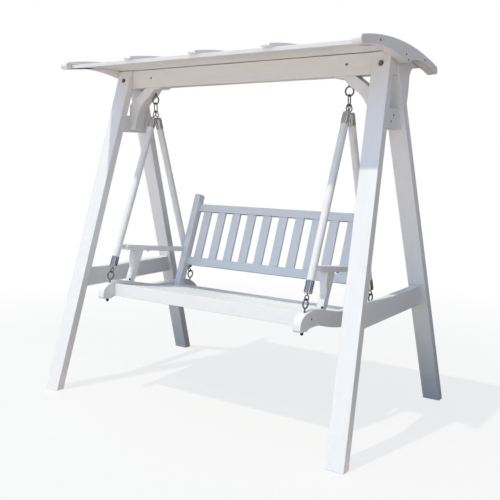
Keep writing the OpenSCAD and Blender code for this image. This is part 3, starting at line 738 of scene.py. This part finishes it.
@dataclass
class Bench:
    """The seat, back and arms, with the bolts and screws that show on them."""

    z: float = 0.558
    tilt: float = 7.0
    rake: float = 14.0
    hang_x: float = 0.611
    seat_front: float = 0.363
    cross_t: float = 0.025
    rear_rail_y: float = 0.1774
    slat_n: int = 8
    seat_top: float = -0.006
    seat_fall: float = 0.014
    seat_dip: float = 0.008
    bearer_x: float = 0.576
    full_slats: int = 6
    screw_sink: float = 0.0001
    toe_out: float = 0.0115
    toe_y: float = -0.242
    toe_z: float = 0.0145
    toe_turn: float = 78.7
    arm_y: float = -0.098
    arm_z: float = 0.179
    rail_ease: float = 0.003
    post_ease: float = 0.0025
    cross_ease: float = 0.002
    slat_ease: float = 0.0012
    back_slat_ease: float = 0.001
    slat_screw: Head = field(default_factory=lambda: Head(0.0085, 0.0006, 0.004, 0.004, sides=24))
    toe_screw: Head = field(default_factory=lambda: Head(0.013, 0.003, 0.005, 0.005, sides=24))
    arm_bolt: Head = field(
        default_factory=lambda: Head(0.012, 0.0055, 0.005, 0.004, Drive.SOCKET, washer=0.017, sides=24)
    )

    def frame(self) -> Matrix:
        """Return the bench's own tilted frame."""
        return Matrix.Translation((0, 0, self.z)) @ Matrix.Rotation(-math.radians(self.tilt), 4, "X")

    def way(self, turn: float, axis: Point) -> Point:
        """Return a direction of the bench's frame, turned backwards by an angle, in the world's frame."""
        turned = self.frame().to_3x3() @ Matrix.Rotation(-math.radians(turn), 3, "X") @ Vector(axis)
        return tuple(turned)

    def seat_z(self, y: float) -> float:
        """Return the height of the slats' tops over the reference line at y."""
        t = (y + self.seat_front) / (self.rear_rail_y + self.seat_front)
        return self.seat_top - self.seat_fall * t - self.seat_dip * 4 * t * (1 - t)

    def slat_screws(self) -> bmesh.types.BMesh:
        """Make the screws that hold the slats on their bearers.

        Returns:
            The mesh of all the screws.
        """
        mesh = bmesh.new()
        start = -self.seat_front + self.cross_t
        pitch = (self.rear_rail_y - start) / self.slat_n
        for i in range(self.slat_n):
            mid = start + pitch * (i + 0.5)
            slope = math.atan2(self.seat_z(mid + 0.02) - self.seat_z(mid - 0.02), 0.04)
            spots = (-self.bearer_x, 0.0, self.bearer_x) if i < self.full_slats else (0.0,)
            for x in spots:
                place = self.frame() @ Matrix.Translation((x, mid, self.seat_z(mid) - self.screw_sink))
                self.slat_screw.add_to(mesh, place @ Matrix.Rotation(slope, 4, "X"))
        return mesh

    def arm_bolts(self) -> bmesh.types.BMesh:
        """Make the screws in the toes of the arm posts and the bolts up into the armrests; each black toe
        screw sits where the post's foot meets the seat rail, both a screw and painted shade of the gap there.

        Returns:
            The mesh of both pairs.
        """
        mesh = bmesh.new()
        for side in (-1, 1):
            x = side * self.hang_x
            # The black toe screw sits where the post's foot meets the rail: partly a screw, partly painted
            # shade of the gap under the foot.
            toe = self.frame() @ Matrix.Translation((x + self.toe_out, self.toe_y, self.toe_z))
            self.toe_screw.add_to(mesh, toe @ Matrix.Rotation(math.radians(self.toe_turn), 4, "X"))
            arm = self.frame() @ Matrix.Translation((x, self.arm_y, self.arm_z))
            self.arm_bolt.add_to(mesh, arm @ Matrix.Rotation(math.pi, 4, "X"))
        return mesh

    def dress(self, shop: Shop) -> None:
        """Paint the bench and add its bolts and screws.

        Args:
            shop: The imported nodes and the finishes.
        """
        back_up = self.way(self.rake, (0, 0, 1))
        fore = self.way(0.0, (0, 1, 0))
        up = self.way(0.0, (0, 0, 1))
        for hand in ("left", "right"):
            shop.timber(f"seat_rail_{hand}", fore, self.rail_ease)
            shop.timber(f"back_post_{hand}", back_up, self.post_ease)
            shop.timber(f"armrest_{hand}", fore, self.rail_ease)
            shop.timber(f"arm_post_{hand}", up, self.post_ease)
        for node in ("seat_front_rail", "seat_rear_rail", "back_top_rail", "back_lower_rail"):
            shop.timber(node, (1, 0, 0), self.cross_ease)
        shop.timber("seat_slats", (1, 0, 0), self.slat_ease)
        shop.timber("seat_bearers", fore, self.slat_ease)
        shop.timber("back_slats", back_up, self.back_slat_ease)
        shop.metal("bench_bolts", "screw_steel", SCREW_STEEL)
        shop.fitting("slat_screws", "bench", self.slat_screws(), SCREW_STEEL, "screw_steel")
        shop.fitting("arm_bolts", "bench", self.arm_bolts(), BOLT_STEEL, "bolt_steel")


# ---------------------------------------------------------------- studio


@dataclass(frozen=True)
class Card:
    """An upright glowing card round the swing, a painted reflection that only glossy rays see, in polished
    metal and in the paint's gloss.
    """

    turn: float
    width: float
    colour: Colour
    low: float = 0.0
    high: float = 5.0
    far: float = 5.0

    def corners(self) -> List[Vector]:
        """Work out the card's corners.

        Returns:
            The two lower corners, then the two upper ones the other way round.
        """
        a = math.radians(self.turn)
        out = Vector((math.sin(a), -math.cos(a), 0))
        across = Vector((math.cos(a), math.sin(a), 0))
        foot = [out * self.far + across * (0.5 * w * self.width) for w in (-1, 1)]
        rows = ((self.low, foot), (self.high, foot[::-1]))
        return [v + Vector((0, 0, z)) for z, row in rows for v in row]


@dataclass
class Studio:
    """Pale floor with painted bounce light and shade, white surroundings, one soft key light, the sky's fill
    and glowing cards that paint reflections in the metal.
    """

    floor_size: float = 60.0
    floor_colour: Colour = grey(0.62)
    # floor_glow and floor_dim colour only the light that bounces off the floor: painted warm bounce light and
    # painted shade on the swing.
    floor_glow: Colour = grey(0.80, 1.18, 0.90)
    floor_dim: Colour = grey(0.06)
    floor_white: float = 0.76
    white_span: Span = (1.5, 4.0)
    near_span: Span = (-0.6, 0.1)
    near_share: float = 0.75
    rear_span: Span = (-0.4, 0.8)
    rear_loss: float = 0.45
    right_span: Span = (0.6, 2.2)
    right_loss: float = 0.5
    far_span: Span = (1.6, 3.5)
    key_power: float = 2.25
    key_angle: float = 1.2
    key_from: Point = (-0.17, -0.356, 0.90)
    key_colour: Point = (1.0, 0.93, 0.74)
    key_far: float = 6.0
    sky_top: Colour = grey(0.50, 0.90, 1.16)
    sky_high: Colour = grey(0.99, 0.76, 1.38)
    sky_low: Colour = grey(0.62, 0.90, 1.16)
    sky_dim: Colour = grey(0.28, 1.0, 1.03)
    sky_bright_way: Point = (-0.6, -0.65, 0.4)
    bright_span: Span = (-0.55, 0.5)
    high_span: Span = (0.0, 0.5)
    top_span: Span = (0.55, 0.95)
    board_half: float = 5.0
    board_reach: float = 6.0
    board_z: float = 0.001
    # Glowing boards on the floor, warm in front and dark behind, seen only as painted reflections.
    board_warm: Colour = grey(0.74, 1.12, 0.72)
    board_dark: Colour = grey(0.01)
    # Glowing cards seen only as painted reflections: blue ahead and to the left, dark to the right and
    # behind.
    cards: Tuple[Card, ...] = (
        Card(2, 11.0, grey(0.50, 0.74, 1.34), low=0.6, high=7.0, far=5.4),
        Card(-76, 5.0, grey(0.26, 0.85, 1.2)),
        Card(85, 3.6, grey(0.015)),
        Card(130, 3.6, grey(0.02)),
        Card(180, 3.4, grey(0.01)),
        Card(235, 3.4, grey(0.01)),
    )

    def seen(self, graph: Graph) -> Wire:
        """Return 1 for a ray that shows the surroundings: camera, glossy and transmission rays."""
        kinds = ("Camera", "Glossy", "Transmission")
        rays = [graph.add("ShaderNodeLightPath", output=f"Is {kind} Ray") for kind in kinds]
        return (rays[0] + rays[1] + rays[2]).step(0.0, 1.0)

    def floor(self) -> None:
        """Lay the floor: a surface that fades to white away from the swing; its colour for light bouncing off
        it is painted dark round the swing, behind it and to its right, as painted shade, and warm in front
        and farther out, as painted bounce light.
        """
        mesh = bmesh.new()
        bmesh.ops.create_grid(mesh, x_segments=8, y_segments=8, size=self.floor_size / 2)
        material = bpy.data.materials.new("floor_paint")
        material.use_nodes = True
        graph = Graph(material.node_tree)
        place = graph.add("ShaderNodeTexCoord", output="Object")
        reach = graph.add("ShaderNodeVectorMath", {"operation": "LENGTH"}, {0: place}, "Value")
        speckle = graph.noise(place, 0.015, 3.0)
        seen = self.seen(graph)
        depth = graph.along(place, (0.0, 1.0, 0.0))
        width = graph.along(place, (1.0, 0.0, 0.0))
        near = (1.0 - depth.step(*self.near_span)) * self.near_share
        rear = depth.step(*self.rear_span)
        shade = width.step(*self.right_span) * (rear * self.rear_loss + self.right_loss)
        far = reach.step(*self.far_span) * (1.0 - shade)
        # The bounce colour is painted light and shade: dim near the swing and behind and right of it, a warm
        # glow in front and far off.
        bounce = graph.blend(self.floor_dim, self.floor_glow, near + far * (1.0 - near))
        plain = graph.add(
            "ShaderNodeBsdfPrincipled",
            None,
            {
                "Base Color": graph.blend(bounce, self.floor_colour, seen),
                "Roughness": 0.75 + speckle * 0.1,
                "Specular IOR Level": 0.2,
            },
        )
        white = graph.add("ShaderNodeEmission", None, {"Color": (1, 1, 1, 1), "Strength": 1.0})
        share = seen * (self.floor_white + reach.step(*self.white_span) * (1.0 - self.floor_white))
        mixed = graph.add("ShaderNodeMixShader", None, {0: share, 1: plain, 2: white})
        graph.end("ShaderNodeOutputMaterial", mixed)
        floor = piece_of("studio_floor", mesh, material)
        floor.location.z = -0.0005
        log.info("studio floor laid")

    def sky(self) -> None:
        """Light from all round: brighter in front and on the left, dimmer on the right."""
        world = bpy.data.worlds.new("studio")
        world.use_nodes = True
        bpy.context.scene.world = world
        graph = Graph(world.node_tree)
        way = graph.add("ShaderNodeTexCoord", output="Generated")
        toward = graph.along(way, self.sky_bright_way)
        height = graph.along(way, (0.0, 0.0, 1.0))
        lit = graph.blend(self.sky_low, self.sky_high, height.step(*self.high_span))
        lit = graph.blend(lit, self.sky_top, height.step(*self.top_span))
        colour = graph.blend(self.sky_dim, lit, toward.step(*self.bright_span))
        light = graph.add("ShaderNodeBackground", None, {"Color": colour, "Strength": 1.0})
        white = graph.add("ShaderNodeBackground", None, {"Color": (1, 1, 1, 1), "Strength": 1.0})
        mixed = graph.add("ShaderNodeMixShader", None, {0: self.seen(graph), 1: light, 2: white})
        graph.end("ShaderNodeOutputWorld", mixed)
        log.info("sky set")

    def card(self, name: str, corners: Sequence[Vector], colour: Colour) -> None:
        """Stand one glowing card that only glossy reflections can see, as a painted reflection.

        Args:
            name: Name of the card.
            corners: Its four corners.
            colour: The plain colour that it glows with.
        """
        material = bpy.data.materials.new(name)
        material.use_nodes = True
        graph = Graph(material.node_tree)
        glow_mottle = graph.noise(graph.add("ShaderNodeTexCoord", output="Object"), 0.3, 2.0)
        shade = graph.blend(colour, tuple(0.8 * v for v in colour[:3]) + (1.0,), glow_mottle)
        # The card glows with its colour and lights nothing; glossy surfaces show it as a painted reflection.
        glowing_face = graph.add(
            "ShaderNodeBsdfPrincipled",
            None,
            {"Base Color": grey(0.0), "Roughness": 0.9, "Emission Color": shade, "Emission Strength": 1.0},
        )
        graph.end("ShaderNodeOutputMaterial", glowing_face)
        mesh = bmesh.new()
        mesh.faces.new([mesh.verts.new(v) for v in corners])
        card = piece_of(name, mesh, material)
        card.visible_camera = card.visible_diffuse = card.visible_shadow = card.visible_transmission = False

    def flags(self) -> None:
        """Stand glowing cards round the swing, and lay glowing boards on the floor, as painted reflections
        for the metal to show: blue sky ahead and to the left, warm ground in front, dark to the right and
        behind.
        """
        for i, flag in enumerate(self.cards):
            self.card(f"studio_card_{i + 1}", flag.corners(), flag.colour)
        half, reach = self.board_half, self.board_reach
        for end, low, colour in (("front", -reach, self.board_warm), ("rear", 0.0, self.board_dark)):
            outline = ((-half, low), (half, low), (half, low + reach), (-half, low + reach))
            self.card(f"studio_board_{end}", [Vector((x, y, self.board_z)) for x, y in outline], colour)
        log.info("cards stood")

    def key(self) -> None:
        """Hang the key light, high in front on the left."""
        lamp = bpy.data.lights.new("key_light", "SUN")
        lamp.energy = self.key_power
        lamp.angle = math.radians(self.key_angle)
        lamp.color = self.key_colour
        holder = bpy.data.objects.new("key_light", lamp)
        holder.rotation_euler = Vector(self.key_from).to_track_quat("Z", "Y").to_euler()
        holder.location = Vector(self.key_from) * self.key_far
        bpy.context.scene.collection.objects.link(holder)
        log.info("key light hung")

    def build(self) -> None:
        """Build the whole studio."""
        self.floor()
        self.sky()
        self.flags()
        self.key()
        bpy.context.scene.view_settings.view_transform = "Standard"


@dataclass
class View:
    """The camera: it stands in front of the swing, off its right-hand end, at chest height."""

    place: Point = (2.1871, -3.0806, 1.3011)
    yaw: float = 34.76
    pitch: float = -7.67
    roll: float = 0.55
    lens: float = 51.413
    sensor: float = 36.0

    def build(self) -> None:
        """Set up the camera and make it the scene's."""
        yaw, pitch, roll = (math.radians(v) for v in (self.yaw, self.pitch, self.roll))
        ahead = Vector((-math.sin(yaw) * math.cos(pitch), math.cos(yaw) * math.cos(pitch), math.sin(pitch)))
        right = Vector((math.cos(yaw), math.sin(yaw), 0))
        up = right.cross(ahead)
        right, up = right * math.cos(roll) + up * math.sin(roll), up * math.cos(roll) - right * math.sin(roll)
        data = bpy.data.cameras.new("camera")
        data.lens = self.lens
        data.sensor_width = self.sensor
        data.sensor_fit = "HORIZONTAL"
        data.clip_end = 200
        camera = bpy.data.objects.new("camera", data)
        turn = Matrix((right, up, -ahead)).transposed()
        camera.matrix_world = Matrix.Translation(self.place) @ turn.to_4x4()
        bpy.context.scene.collection.objects.link(camera)
        bpy.context.scene.camera = camera
        log.info("camera placed")


def main() -> None:
    """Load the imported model, dress it and build everything round it."""
    logging.basicConfig(level=logging.INFO, format="%(message)s")
    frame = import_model()
    shop = Shop(frame["nodes"], Library())
    StandingFrame().dress(shop)
    Roof().dress(shop)
    Hangers().dress(shop)
    Bench().dress(shop)
    Studio().build()
    View().build()


if __name__ == "__main__":
    main()
